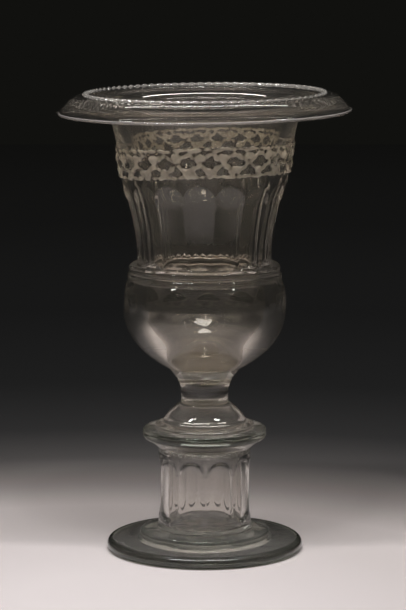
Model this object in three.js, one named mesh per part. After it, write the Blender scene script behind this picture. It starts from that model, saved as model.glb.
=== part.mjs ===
// A clear glass campana vase on a pedestal, in millimetres, +Z up, standing on z = 0.
// Each piece is one gather of glass, as the glassmaker laid it: foot, step, fluted column,
// drip flange, merese, cone, neck, bulb, two collar trails, bell with turned-over rim, and
// the trellis of four trails round the bell. Angles run from the front, -Y, towards +X.
import * as THREE from "three";

// Heights of the stacked pieces, from the table up.
const FOOT_THICKNESS = 8.4;
const STEP_HEIGHT = 4.8;
const COLUMN_HEIGHT = 49.3;
const FLANGE_THICKNESS = 12;
const MERESE_THICKNESS = 2.4;
const CONE_HEIGHT = 12.1;
const NECK_HEIGHT = 22.4;
const BULB_HEIGHT = 53.1;
const BELL_HEIGHT = 112.1;

// Foot and step.
const FOOT_RADIUS = 59;
const FOOT_EDGE_ROUND = 4;
const FOOT_REST_WIDTH = 15;
const FOOT_KICK = 1.2;
const FOOT_KICK_SLOPE = 3;
const FOOT_SLOPE = 1.2;
const STEP_RADIUS = 39.2;
const STEP_EDGE_ROUND = 2.6;
const STEP_SLOPE = 0.6;

// Fluted column: a thick tube with ten flutes ground into its outside.
const COLUMN_RADIUS = 27.9;
const COLUMN_WALL = 5.2;
const COLUMN_FLUTES = 10;
const COLUMN_FLUTE_TURN = 19.3;
const COLUMN_BORE_FILLET = 3.6;
const COLUMN_PLAIN_TOP = 5;
const COLUMN_PLAIN_BASE = 6.4;
const COLUMN_BASE_FLARE = 1.1;

// Drip flange, merese, cone and neck.
const FLANGE_RADIUS = 37.3;
const FLANGE_EDGE = 6.4;
const FLANGE_EDGE_ROUND = 1.8;
const MERESE_RADIUS = 29.9;
const MERESE_EDGE_ROUND = 0.8;
const CONE_RADIUS = 24.9;
const CONE_EDGE = 3.2;
const CONE_EDGE_ROUND = 1;
const NECK_RADIUS = 14.1;
const NECK_FOOT_RADIUS = 15.2;
const NECK_WAIST_HEIGHT = 5.6;
const NECK_TOP_RADIUS = 22.2;
const SEAM_LEDGE = 0.5;

// Bulb: the lower bowl, with sixteen flutes that are round above and pointed below.
const BULB_RADIUS = 49.1;
const BULB_WALL = 12.1;
const BULB_BASE_RADIUS = 23;
const BULB_SHOULDER_RADIUS = 45.6;
const BULB_WIDEST_HEIGHT = 38.5;
const BULB_FLOOR = 3.7;
const BULB_FLOOR_RADIUS = 14.8;
const BULB_FLOOR_ROUND = 3.6;
const BULB_FLUTE_BASE = 37.3;
const BULB_FLUTE_TOP = 52;
const BULB_FLUTE_POINT = 2.5;
const BULB_FLUTE_TURN = 2.5;

// Bell: the upper bowl, with sixteen flutes and a rim that turns over.
const BELL_BASE_RADIUS = 41.3;
const BELL_BASE_WALL = 9;
const BELL_BASE_HEIGHT = 10.5;
const BELL_BAND_RADIUS = 50.3;
const BELL_BAND_HEIGHT = 65.5;
const BELL_THROAT_RADIUS = 56.4;
const BELL_THROAT_DROP = 14;
const BELL_FLUTE_TOP = 60.1;
const BELL_FLUTE_TURN = 18.4;
const BOWL_FLUTES = 16;
const FLUTE_DEPTH = 1;
const MOUTH_RADIUS = 53;
const MOUTH_ROUND = 1.4;
const RIDGE_RADIUS = 70.9;
const RIDGE_HEIGHT = 1.2;
const RIDGE_HALF_WIDTH = 1.6;
const BRIM_RADIUS = 87.2;
const BRIM_DROP = 12.6;
const BRIM_PLATE = 4.6;
const BRIM_EDGE = 2.2;
const BRIM_LEAN = 1.25;

// Collar: two trails wound round the foot of the bell.
const LOWER_COLLAR_HEIGHT = 4.1;
const LOWER_COLLAR_WIDTH = 4.6;
const UPPER_COLLAR_HEIGHT = 4.6;
const UPPER_COLLAR_WIDTH = 3.8;

// Trellis: four trails round the bell, nipped together twenty-two times.
const TRELLIS_NIPS = 22;
const TRELLIS_BASE_HEIGHT = 64.2;
const TRELLIS_HEIGHT = 17.6;
const TRELLIS_LEAN = 1.8;
const TRELLIS_SWAY = 1.1;
const TRELLIS_TURN = -2.9;
const TRAIL_RELIEF = 1.6;
const RING_TRAIL_HEIGHT = 2.6;
const NIPPED_TRAIL_HEIGHT = 2.8;

// Clearance between an applied trail and the glass that carries it, or the next trail.
const TRAIL_GAP = 0.35;

// A grinding wheel that leaves the glass rises by this much in each millimetre.
const WHEEL_RISE = 0.2;

// Fineness of the facets.
const BOWL_SEGMENTS = BOWL_FLUTES * 3;
const COLUMN_SEGMENTS = COLUMN_FLUTES * 3;
const PLAIN_SEGMENTS = 40;
const TRAIL_SIDES = 6;
const RING_STEPS_PER_NIP = 2;
const ZIGZAG_STEPS_PER_NIP = 4;
const BEND_PULL = 0.4;
const HALVING_STOP = 0.000001;

// Levels of the seams.
const STEP_Z = FOOT_THICKNESS;
const COLUMN_Z = STEP_Z + STEP_HEIGHT;
const FLANGE_Z = COLUMN_Z + COLUMN_HEIGHT;
const MERESE_Z = FLANGE_Z + FLANGE_THICKNESS;
const CONE_Z = MERESE_Z + MERESE_THICKNESS;
const NECK_Z = CONE_Z + CONE_HEIGHT;
const BULB_Z = NECK_Z + NECK_HEIGHT;
const BELL_Z = BULB_Z + BULB_HEIGHT;
const RIM_Z = BELL_Z + BELL_HEIGHT;

const radians = THREE.MathUtils.degToRad;

// Directions along an outline, in degrees above the outward horizontal.
const OUT = 0;
const UP = 90;
const IN = 180;
const DOWN = 270;

// A point of an outline: a radius and a height.
const at = (r, z) => new THREE.Vector2(r, z);

// The point a distance away from another in a direction.
function away(point, direction, distance) {
  const angle = radians(direction);
  return at(point.x + distance * Math.cos(angle), point.y + distance * Math.sin(angle));
}

// A smooth bend that leaves one point and reaches another in given directions.
function bendCurve(from, leaving, to, reaching) {
  const pull = BEND_PULL * from.distanceTo(to);
  return new THREE.CubicBezierCurve(from, away(from, leaving, pull), away(to, reaching, -pull), to);
}

// Points along a bend, without its first point, so that stretches can be chained.
function bend(from, leaving, to, reaching, steps) {
  return bendCurve(from, leaving, to, reaching).getPoints(steps).slice(1);
}

// Depth of a flat facet under the round that it is ground into, at an angle from an arris,
// and how far along the facet's half width that is, from 0 in its middle to 1 at an arris.
function facet(radius, flutes, angle) {
  const half = Math.PI / flutes;
  const offset = (angle % (2 * half)) - half;
  const depth = radius * (1 - Math.cos(half) / Math.cos(offset));
  return { depth, share: Math.abs(offset) / half, deepest: radius * (1 - Math.cos(half)) };
}

// How far the wheel has risen at a distance past the end of its cut.
const risen = (past) => Math.max(0, past) * WHEEL_RISE;

// A solid of revolution about Z. The outline runs anticlockwise as seen with r to the right
// and z up. An optional cut moves each point of the turned outline, by its radius, height
// and angle from the first arris, and turn sets the angle of that arris from the front.
function turned(outline, segments, cut, turn = 0) {
  const closed = outline[0].x === 0 ? outline : [...outline, outline[0]];
  const geometry = new THREE.LatheGeometry(closed, segments);
  if (cut) {
    const position = geometry.getAttribute("position");
    for (let i = 0; i < position.count; i++) {
      const point = closed[i % closed.length];
      const angle = (Math.floor(i / closed.length) * 2 * Math.PI) / segments;
      const moved = cut(point.x, point.y, angle);
      position.setXYZ(i, moved.x * Math.sin(angle), moved.y, moved.x * Math.cos(angle));
    }
  }
  return geometry.rotateX(Math.PI / 2).rotateZ(radians(turn));
}

// Grinds the column's flutes: flat, with round ends.
function columnCut(r, z, angle) {
  if (r < COLUMN_RADIUS - COLUMN_WALL / 2) return at(r, z);
  const { depth, deepest } = facet(r, COLUMN_FLUTES, angle);
  const above = z - (FLANGE_Z - COLUMN_PLAIN_TOP - deepest / WHEEL_RISE);
  const below = COLUMN_Z + COLUMN_PLAIN_BASE + deepest / WHEEL_RISE - z;
  return at(r - Math.max(0, depth - risen(above) - risen(below)), z);
}

// Grinds the bulb's flutes: flat, with round tops and pointed lower ends.
function bulbCut(r, z, angle) {
  if (r < BULB_RADIUS - BULB_WALL / 2) return at(r, z);
  const { depth, share, deepest } = facet(r, BOWL_FLUTES, angle);
  const above = z - (BULB_Z + BULB_FLUTE_TOP - deepest / WHEEL_RISE);
  const below = BULB_Z + BULB_FLUTE_BASE + share * BULB_FLUTE_POINT - z;
  return at(r - Math.max(0, depth - risen(above) - risen(below)), z);
}

// Grinds the bell's flutes, which have round tops and are deep enough to lower the arrises.
function bellCut(r, z, angle) {
  const low = BELL_Z + BELL_BASE_HEIGHT;
  if (z <= low || r < bellRadius(z) - FLUTE_DEPTH) return at(r, z);
  const { depth, deepest } = facet(r, BOWL_FLUTES, angle);
  const above = z - (BELL_Z + BELL_FLUTE_TOP - (FLUTE_DEPTH + deepest) / WHEEL_RISE);
  return at(r - Math.max(0, FLUTE_DEPTH + depth - risen(above)), z);
}

// Leans the hand-turned brim, more the further out it reaches.
function leanBrim(r, z, angle) {
  const share = Math.max(0, (r - MOUTH_RADIUS) / (BRIM_RADIUS - MOUTH_RADIUS));
  return at(r, z + BRIM_LEAN * share * Math.sin(angle + radians(bellTurn)));
}

// The bell's outside below the brim: upright at its foot, fuller at the trellis, then flared.
const BELL_BAND_SLOPE = 82;
const BELL_THROAT_SLOPE = 74;
const bellBase = at(BELL_BASE_RADIUS, BELL_Z + BELL_BASE_HEIGHT);
const bellBand = at(BELL_BAND_RADIUS, BELL_Z + BELL_BAND_HEIGHT);
const bellThroat = at(BELL_THROAT_RADIUS, RIM_Z - BELL_THROAT_DROP);
const bellLower = bendCurve(bellBase, UP, bellBand, BELL_BAND_SLOPE);
const bellUpper = bendCurve(bellBand, BELL_BAND_SLOPE, bellThroat, BELL_THROAT_SLOPE);
const bellTurn = BELL_FLUTE_TURN - 180 / BOWL_FLUTES;

// Radius of the bell's outside at a height, found by halving along the right bend.
function bellRadius(z) {
  const side = z < bellBand.y ? bellLower : bellUpper;
  let low = 0;
  let high = 1;
  while (high - low > HALVING_STOP) {
    const middle = (low + high) / 2;
    if (side.getPoint(middle).y < z) low = middle;
    else high = middle;
  }
  return side.getPoint(low).x;
}

// The foot: a thick disc with a rounded edge, a flat ring to stand on and a shallow kick.
function foot() {
  const rest = FOOT_RADIUS - FOOT_EDGE_ROUND;
  const kick = rest - FOOT_REST_WIDTH;
  const edgeTop = STEP_Z - FOOT_SLOPE;
  const edge = at(FOOT_RADIUS, edgeTop / 2);
  return turned(
    [
      at(0, FOOT_KICK),
      at(kick - FOOT_KICK_SLOPE, FOOT_KICK),
      at(kick, 0),
      at(rest, 0),
      ...bend(at(rest, 0), OUT, edge, UP, 3),
      ...bend(edge, UP, at(rest, edgeTop), IN, 3),
      at(STEP_RADIUS, STEP_Z),
      at(0, STEP_Z),
    ],
    PLAIN_SEGMENTS,
  );
}

// The step: a lower disc of glass between foot and column.
function step() {
  const edgeTop = COLUMN_Z - STEP_SLOPE;
  const side = at(STEP_RADIUS, edgeTop - STEP_EDGE_ROUND);
  return turned(
    [
      at(0, STEP_Z),
      at(STEP_RADIUS, STEP_Z),
      side,
      ...bend(side, UP, at(STEP_RADIUS - STEP_EDGE_ROUND, edgeTop), IN, 3),
      at(COLUMN_RADIUS + COLUMN_BASE_FLARE, COLUMN_Z),
      at(0, COLUMN_Z),
    ],
    PLAIN_SEGMENTS,
  );
}

// The column: a fluted tube, closed above by the flange and below by the step.
function column() {
  const bore = COLUMN_RADIUS - COLUMN_WALL;
  const lip = bore - COLUMN_BORE_FILLET;
  const fluteLow = COLUMN_Z + COLUMN_PLAIN_BASE;
  const fluteHigh = FLANGE_Z - COLUMN_PLAIN_TOP;
  const boreLow = at(bore, COLUMN_Z + COLUMN_BORE_FILLET);
  const boreHigh = at(bore, FLANGE_Z - COLUMN_BORE_FILLET);
  const { deepest } = facet(COLUMN_RADIUS, COLUMN_FLUTES, 0);
  const runOut = deepest / WHEEL_RISE;
  return turned(
    [
      at(lip, COLUMN_Z),
      at(COLUMN_RADIUS + COLUMN_BASE_FLARE, COLUMN_Z),
      at(COLUMN_RADIUS, fluteLow),
      at(COLUMN_RADIUS, fluteLow + runOut),
      at(COLUMN_RADIUS, fluteHigh - runOut),
      at(COLUMN_RADIUS, fluteHigh),
      at(COLUMN_RADIUS, FLANGE_Z),
      at(lip, FLANGE_Z),
      ...bend(at(lip, FLANGE_Z), OUT, boreHigh, DOWN, 2),
      boreLow,
      ...bend(boreLow, DOWN, at(lip, COLUMN_Z), IN, 2).slice(0, -1),
    ],
    COLUMN_SEGMENTS,
    columnCut,
    COLUMN_FLUTE_TURN - 180 / COLUMN_FLUTES,
  );
}

// The drip flange: a disc with a thick round edge whose underside slopes in to the column.
function flange() {
  const inner = FLANGE_RADIUS - FLANGE_EDGE_ROUND;
  const low = at(inner, MERESE_Z - FLANGE_EDGE);
  const middle = at(FLANGE_RADIUS, MERESE_Z - FLANGE_EDGE / 2);
  return turned(
    [
      at(0, FLANGE_Z),
      at(COLUMN_RADIUS, FLANGE_Z),
      low,
      ...bend(low, OUT, middle, UP, 2),
      ...bend(middle, UP, at(inner, MERESE_Z), IN, 2),
      at(0, MERESE_Z),
    ],
    PLAIN_SEGMENTS,
  );
}

// The merese: a thin button of glass on the flange.
function merese() {
  const inner = MERESE_RADIUS - MERESE_EDGE_ROUND;
  return turned(
    [
      at(0, MERESE_Z),
      at(inner, MERESE_Z),
      at(MERESE_RADIUS, (MERESE_Z + CONE_Z) / 2),
      at(inner, CONE_Z),
      at(0, CONE_Z),
    ],
    PLAIN_SEGMENTS,
  );
}

// The cone under the neck, with a rounded edge and full sides.
const CONE_SIDE_SLOPE = 123;
const CONE_TOP_SLOPE = 146;
function cone() {
  const inner = at(CONE_RADIUS - CONE_EDGE_ROUND, CONE_Z);
  const outer = at(CONE_RADIUS, CONE_Z + CONE_EDGE / 2);
  const shoulder = at(CONE_RADIUS - CONE_EDGE_ROUND / 2, CONE_Z + CONE_EDGE);
  const top = at(NECK_FOOT_RADIUS + SEAM_LEDGE, NECK_Z);
  return turned(
    [
      at(0, CONE_Z),
      inner,
      ...bend(inner, OUT, outer, UP, 2),
      shoulder,
      ...bend(shoulder, CONE_SIDE_SLOPE, top, CONE_TOP_SLOPE, 4),
      at(0, NECK_Z),
    ],
    PLAIN_SEGMENTS,
  );
}

// The neck: a solid spool, narrow below its middle and flared to the bulb.
const NECK_TOP_SLOPE = 50;
function neck() {
  const base = at(NECK_FOOT_RADIUS, NECK_Z);
  const waist = at(NECK_RADIUS, NECK_Z + NECK_WAIST_HEIGHT);
  const top = at(NECK_TOP_RADIUS, BULB_Z);
  return turned(
    [
      at(0, NECK_Z),
      base,
      ...bend(base, IN - NECK_TOP_SLOPE, waist, UP, 2),
      ...bend(waist, UP, top, NECK_TOP_SLOPE, 5),
      at(0, BULB_Z),
    ],
    PLAIN_SEGMENTS,
  );
}

// The bulb: outside from the neck up to the shoulder, then the cavity down to its floor.
const BULB_BASE_SLOPE = 30;
const BULB_SHOULDER_SLOPE = 125;
const BULB_MOUTH_SLOPE = 300;
const BULB_FLOOR_SLOPE = 235;
function bulb() {
  const base = at(BULB_BASE_RADIUS, BULB_Z);
  const widest = at(BULB_RADIUS, BULB_Z + BULB_WIDEST_HEIGHT);
  const shoulder = at(BULB_SHOULDER_RADIUS, BELL_Z);
  const mouth = at(BELL_BASE_RADIUS - BELL_BASE_WALL, BELL_Z);
  const cavity = at(BULB_RADIUS - BULB_WALL, widest.y);
  const floor = at(BULB_FLOOR_RADIUS, BULB_Z + BULB_FLOOR);
  const well = at(floor.x + BULB_FLOOR_ROUND, floor.y + BULB_FLOOR_ROUND / 2);
  return turned(
    [
      at(0, BULB_Z),
      base,
      ...bend(base, BULB_BASE_SLOPE, widest, UP, 7),
      ...bend(widest, UP, shoulder, BULB_SHOULDER_SLOPE, 4),
      mouth,
      ...bend(mouth, BULB_MOUTH_SLOPE, cavity, DOWN, 3),
      ...bend(cavity, DOWN, well, BULB_FLOOR_SLOPE, 4),
      floor,
      at(0, floor.y),
    ],
    BOWL_SEGMENTS,
    bulbCut,
    BULB_FLUTE_TURN - 180 / BOWL_FLUTES,
  );
}

// The brim's section, from the bell's throat under and over to the mouth.
const BRIM_EDGE_SLOPE = -45;
function brim() {
  const under = at(RIDGE_RADIUS - RIDGE_HALF_WIDTH, RIM_Z - BRIM_PLATE);
  const tip = at(BRIM_RADIUS - BRIM_EDGE / 2, RIM_Z - BRIM_DROP);
  const edge = at(BRIM_RADIUS, tip.y + BRIM_EDGE / 2);
  const outer = at(tip.x, tip.y + BRIM_EDGE);
  const ridgeFoot = at(RIDGE_RADIUS + RIDGE_HALF_WIDTH, RIM_Z - RIDGE_HEIGHT);
  return [
    ...bend(bellThroat, BELL_THROAT_SLOPE, under, OUT, 3),
    ...bend(under, OUT, tip, BRIM_EDGE_SLOPE, 3),
    edge,
    outer,
    ...bend(outer, IN + BRIM_EDGE_SLOPE, ridgeFoot, IN, 2),
    at(RIDGE_RADIUS, RIM_Z),
    at(RIDGE_RADIUS - RIDGE_HALF_WIDTH, RIM_Z - RIDGE_HEIGHT),
    at(MOUTH_RADIUS + MOUTH_ROUND, RIM_Z - RIDGE_HEIGHT),
  ];
}

// The bell: fluted outside, turned-over brim, and the tapering cavity.
const MOUTH_SLOPE = 253;
function bell() {
  const inner = BELL_BASE_RADIUS - BELL_BASE_WALL;
  const mouth = at(MOUTH_RADIUS, RIM_Z - RIDGE_HEIGHT - MOUTH_ROUND);
  const deep = at(inner, BELL_Z + BELL_BASE_HEIGHT);
  const ledge = at(BELL_BASE_RADIUS, bellBase.y + FLUTE_DEPTH);
  return turned(
    [
      at(inner, BELL_Z),
      at(BELL_BASE_RADIUS, BELL_Z),
      bellBase,
      ledge,
      ...bellLower.getPoints(7).slice(1),
      ...bellUpper.getPoints(4).slice(1),
      ...brim(),
      mouth,
      ...bend(mouth, MOUTH_SLOPE, deep, DOWN, 5),
    ],
    BOWL_SEGMENTS,
    (r, z, angle) => (z > bellThroat.y ? leanBrim(r, z, angle) : bellCut(r, z, angle)),
    bellTurn,
  );
}

// A closed trail of oval section round the vase, whose path gives the radius and height of
// its middle at each angle.
function trail(path, steps, width, height) {
  const positions = [];
  const index = [];
  const corner = (i, k) => (i % steps) * TRAIL_SIDES + (k % TRAIL_SIDES);
  for (let i = 0; i < steps; i++) {
    const angle = (i * 2 * Math.PI) / steps;
    const { r, z } = path(angle);
    for (let k = 0; k < TRAIL_SIDES; k++) {
      const turn = ((k + 0.5) * 2 * Math.PI) / TRAIL_SIDES;
      const out = r + (width / 2) * Math.cos(turn);
      positions.push(out * Math.sin(angle), -out * Math.cos(angle), z + (height / 2) * Math.sin(turn));
      index.push(corner(i, k), corner(i + 1, k), corner(i, k + 1));
      index.push(corner(i, k + 1), corner(i + 1, k), corner(i + 1, k + 1));
    }
  }
  const geometry = new THREE.BufferGeometry();
  geometry.setAttribute("position", new THREE.Float32BufferAttribute(positions, 3));
  geometry.setIndex(index);
  return geometry;
}

// A collar trail that hugs the foot of the bell from a height up.
function collarTrail(low, width, height) {
  const r = BELL_BASE_RADIUS + TRAIL_GAP + width / 2;
  return trail(() => ({ r, z: low + height / 2 }), PLAIN_SEGMENTS, width, height);
}

// A trellis trail that follows the bell's side, at a height that may change with the angle.
function trellisTrail(heightAt, height, stepsPerNip) {
  const path = (angle) => {
    const lean = TRELLIS_LEAN * Math.sin(angle) + TRELLIS_SWAY * Math.cos(2 * angle);
    const z = BELL_Z + heightAt(angle) + lean;
    return { r: bellRadius(z + height / 2) + TRAIL_GAP + TRAIL_RELIEF / 2, z };
  };
  return trail(path, TRELLIS_NIPS * stepsPerNip, TRAIL_RELIEF, height);
}

// A ring trail keeps one height.
const ringTrail = (height) => trellisTrail(() => height, RING_TRAIL_HEIGHT, RING_STEPS_PER_NIP);

// A nipped trail swings between two heights, with a peak at the given turn.
function nippedTrail(low, high, turn) {
  const middle = (low + high) / 2;
  const swing = (high - low) / 2;
  const heightAt = (angle) => middle + swing * Math.cos(TRELLIS_NIPS * (angle - radians(turn)));
  return trellisTrail(heightAt, NIPPED_TRAIL_HEIGHT, ZIGZAG_STEPS_PER_NIP);
}

const CLEAR_GLASS = { color: 0xdfe3dc, roughness: 0.03, metalness: 0, transparent: true, opacity: 0.35 };
const vase = new THREE.Group();

// Adds a named piece of clear glass to the vase.
function add(name, geometry) {
  const mesh = new THREE.Mesh(geometry, new THREE.MeshStandardMaterial(CLEAR_GLASS));
  mesh.name = name;
  vase.add(mesh);
}

add("foot_disc", foot());
add("foot_step", step());
add("fluted_column", column());
add("drip_flange", flange());
add("merese", merese());
add("stem_cone", cone());
add("stem_neck", neck());
add("bulb", bulb());
add("bell", bell());

const lowerCollarZ = BELL_Z + TRAIL_GAP;
const upperCollarZ = lowerCollarZ + LOWER_COLLAR_HEIGHT + TRAIL_GAP;
add("lower_collar_trail", collarTrail(lowerCollarZ, LOWER_COLLAR_WIDTH, LOWER_COLLAR_HEIGHT));
add("upper_collar_trail", collarTrail(upperCollarZ, UPPER_COLLAR_WIDTH, UPPER_COLLAR_HEIGHT));

const trellisTop = TRELLIS_BASE_HEIGHT + TRELLIS_HEIGHT;
const trellisMiddle = TRELLIS_BASE_HEIGHT + TRELLIS_HEIGHT / 2;
const ringReach = RING_TRAIL_HEIGHT / 2 + TRAIL_GAP + NIPPED_TRAIL_HEIGHT / 2;
const nipReach = (TRAIL_GAP + NIPPED_TRAIL_HEIGHT) / 2;
const lowerZigzag = [TRELLIS_BASE_HEIGHT + ringReach, trellisMiddle - nipReach];
const upperZigzag = [trellisMiddle + nipReach, trellisTop - ringReach];
const halfPitch = 180 / TRELLIS_NIPS;
add("trellis_bottom_trail", ringTrail(TRELLIS_BASE_HEIGHT));
add("trellis_top_trail", ringTrail(trellisTop));
add("trellis_lower_zigzag", nippedTrail(...lowerZigzag, TRELLIS_TURN));
add("trellis_upper_zigzag", nippedTrail(...upperZigzag, TRELLIS_TURN + halfPitch));

export default vase;
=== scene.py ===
"""The looks of the clear glass campana vase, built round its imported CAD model.

Sizes are in millimetres, levels over the table end in Z, and slants and turns are in degrees. They
are the solids' own, but here the trellis is narrower and flatter, and the bell's flutes are hollow.
Sides are the steps round a piece, or across one of its flutes or beads. A skin is how deep a point
may lie and still count as on the surface.
"""
import math

import bpy
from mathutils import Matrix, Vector, noise
from mathutils.bvhtree import BVHTree
from mathutils.geometry import interpolate_bezier


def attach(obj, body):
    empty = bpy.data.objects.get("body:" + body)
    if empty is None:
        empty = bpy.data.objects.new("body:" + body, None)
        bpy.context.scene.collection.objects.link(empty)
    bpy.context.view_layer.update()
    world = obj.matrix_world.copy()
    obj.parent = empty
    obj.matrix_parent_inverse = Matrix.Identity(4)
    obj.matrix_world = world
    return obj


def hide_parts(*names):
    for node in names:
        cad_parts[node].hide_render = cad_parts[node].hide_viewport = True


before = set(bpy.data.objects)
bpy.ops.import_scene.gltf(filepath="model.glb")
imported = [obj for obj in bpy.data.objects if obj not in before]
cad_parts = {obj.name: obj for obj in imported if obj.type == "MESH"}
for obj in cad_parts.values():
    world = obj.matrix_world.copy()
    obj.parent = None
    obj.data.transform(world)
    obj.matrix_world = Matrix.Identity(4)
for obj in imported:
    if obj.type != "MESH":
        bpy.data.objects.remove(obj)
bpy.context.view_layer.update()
MM = 0.001

# A slant runs from straight out, and grows as it turns up.
OUT, UP, IN, DOWN = 0.0, 90.0, 180.0, 270.0

# Foot disc.
FOOT_RADIUS = 59.0
FOOT_EDGE_ROUND = 4.0
FOOT_REST_WIDTH = 15.0
FOOT_KICK = 1.2
FOOT_KICK_SLOPE = 3.0
FOOT_KICK_SLANT = -20
FOOT_SLOPE = 1.2
FOOT_TOP_SLANT = 175
FOOT_EDGE_GLASS = 0.8
FOOT_SIDES = 192

# Step on the foot.
STEP_Z = 8.4
STEP_RADIUS = 39.2
STEP_EDGE_ROUND = 2.6
STEP_SLOPE = 0.6
STEP_SIDES = 160

# Fluted column.
COLUMN_Z = 13.2
COLUMN_RADIUS = 27.9
COLUMN_WALL = 5.2
COLUMN_BORE_FILLET = 3.6
COLUMN_PLAIN_TOP = 5.0
COLUMN_PLAIN_BASE = 6.4
COLUMN_BASE_FLARE = 1.1
COLUMN_FLUTES = 10
COLUMN_FLUTE_TURN = 19.3
COLUMN_FLUTE_SIDES = 24
COLUMN_ARCH = 10.0
COLUMN_ARCH_MARGIN = 2.0
COLUMN_GRIND_LAP = 0.3
COLUMN_GRIND_RUN = 2.2
COLUMN_SKIN = 1.0
BORE_SKIN = 0.1

# Drip flange.
FLANGE_Z = 62.5
FLANGE_RADIUS = 37.3
FLANGE_EDGE = 6.4
FLANGE_EDGE_ROUND = 1.8
FLANGE_EDGE_GLASS = 0.4
FLANGE_ROOT_SLANT = 45
FLANGE_UNDER_SLANT = 30
FLANGE_LIP_SLANT = 10
FLANGE_SIDES = 160

# Merese, cone and neck.
MERESE_Z = 74.5
MERESE_RADIUS = 29.9
MERESE_EDGE_ROUND = 0.8
CONE_Z = 76.9
CONE_RADIUS = 24.9
CONE_EDGE = 3.2
CONE_EDGE_ROUND = 1.0
CONE_EDGE_SLANT = 120
CONE_SIDE_SLANT = 123
CONE_TOP_SLANT = 146
NECK_Z = 89.0
NECK_RADIUS = 14.1
NECK_FOOT_RADIUS = 15.2
NECK_FOOT_SLANT = 130
NECK_WAIST_HEIGHT = 5.6
NECK_TOP_RADIUS = 22.2
NECK_TOP_SLANT = 50
SEAM_LEDGE = 0.5
STEM_SIDES = 128

# Bulb. The film of lime in it thickens at each of the three film levels, from the top down.
BOWL_FLUTES = 16
BULB_Z = 111.4
BULB_RADIUS = 49.1
BULB_WALL = 12.1
BULB_BASE_RADIUS = 23.0
BULB_BASE_SLANT = 30
BULB_SHOULDER_RADIUS = 45.6
BULB_SHOULDER_SLANT = 125
BULB_WIDEST_Z = 149.9
BULB_FLOOR_Z = 115.1
BULB_FLOOR_RADIUS = 14.8
BULB_FLOOR_ROUND = 3.6
BULB_INLET_SLANT = 300
BULB_WELL_SLANT = 235
BULB_FLUTE_TOP_Z = 163.6
BULB_FLUTE_SIDE_Z = 150.4
BULB_FLUTE_TIP_Z = 143.8
BULB_FLUTE_TURN = 2.5
BULB_FLUTE_SIDES = 20
FILM_Z = (130.5, 126.5, 121.5)

# Bell.
BELL_Z = 164.5
BELL_BASE_RADIUS = 41.3
BELL_BASE_WALL = 9.0
BELL_BASE_Z = 175.0
BELL_BAND_RADIUS = 50.3
BELL_BAND_Z = 230.0
BELL_BAND_SLANT = 82
BELL_THROAT_RADIUS = 56.4
BELL_THROAT_Z = 262.6
BELL_THROAT_SLANT = 74
BELL_CAVITY_SLANT = 253
BELL_SKIN = 2.0

# The bell's flutes: a scoop with soft sides, and a hollow from arris to arris.
BELL_FLUTE_TURN = 18.4
BELL_FLUTE_SIDES = 24
BELL_FLUTE_TOP_Z = 224.4
BELL_FLUTE_TOP_RUN = 14.0
BELL_FLUTE_SIDE_RUN = 3.2
BELL_FLUTE_FOOT_Z = 175.6
BELL_FLUTE_FOOT_DIP = 2.4
BELL_FLUTE_FOOT_RUN = 0.9
BELL_PLAIN_Z = 172.5
FLUTE_DEPTH = 1.0
FLUTE_HOLLOW = 0.8

# Mouth and turned-over brim.
RIM_Z = 276.6
MOUTH_RADIUS = 53.0
MOUTH_ROUND = 1.4
BRIM_RADIUS = 87.2
BRIM_DROP = 12.6
BRIM_PLATE = 4.6
BRIM_EDGE = 2.2
BRIM_LEAN = 1.25
BRIM_TIP_SLANT = -45
BRIM_GLASS_RADIUS = 62.0
LIP_HIGHLIGHT_WIDTH = 0.3

# Ridge on the brim, nipped into beads. Their lean is in radians of their wave per millimetre.
RIDGE_RADIUS = 70.9
RIDGE_HEIGHT = 1.2
RIDGE_HALF_WIDTH = 1.6
RIDGE_ARCH_STEPS = 10
BEADS = 83
BEAD_SIDES = 9
BEAD_CROWDING = 0.155
BEAD_LEAN = 1.4
NIP_WIDTH = 1.2
NIP_DEPTH = 0.95
NIP_PINCH = 0.6
NIP_PINCH_FROM = 0.5

# Collar trails.
COLLAR_LOWER_HEIGHT = 4.4
COLLAR_LOWER_RADIUS = 46.2
COLLAR_LOWER_SLANT = 20
COLLAR_UPPER_HEIGHT = 4.9
COLLAR_UPPER_RADIUS = 45.4
COLLAR_UPPER_SLANT = 200
COLLAR_GROOVE = 1.6
COLLAR_SIDES = 192

# Trellis of threads round the bell. Its zigzags and nips are at heights over its base.
TRELLIS_NIPS = 22
TRELLIS_TURN = -2.9
TRELLIS_BASE_Z = 229.8
TRELLIS_HEIGHT = 15.9
TRELLIS_RELIEF = 1.0
TRELLIS_LEAN = 1.8
TRELLIS_SWAY = 1.1
TRELLIS_SWAY_WAVES = 2
TRELLIS_GRAIN = 0.5
LOWER_ZIGZAG = (3.3, 7.1)
UPPER_ZIGZAG = (9.4, 13.2)
LOWER_NIPS_HEIGHT = 3.1
UPPER_NIPS_HEIGHT = 11.8

# Threads. A swell is a share of a thread's thickness, and a slip is in radians.
THREAD_STEPS = 440
THREAD_ROUND_STEPS = 3
BOTTOM_THREAD = 2.6
BOTTOM_SWELL = 0.12
TOP_THREAD = 2.9
TOP_SWELL = 0.08
TOP_WOBBLE = 0.25
TOP_WOBBLE_TURN = 1.0
ZIGZAG_THREAD = 4.6
ZIGZAG_THINNING = 0.1
ZIGZAG_SWELL = 0.08
LOWER_SWELL_WAVES = 7
UPPER_SWELL_WAVES = 5
UPPER_SWELL_PHASE = 1.0
SLOW_SLIP = 0.026
SLOW_SLIP_WAVES = 3
SLOW_SLIP_PHASE = 0.7
QUICK_SLIP = 0.014
QUICK_SLIP_WAVES = 8

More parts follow.
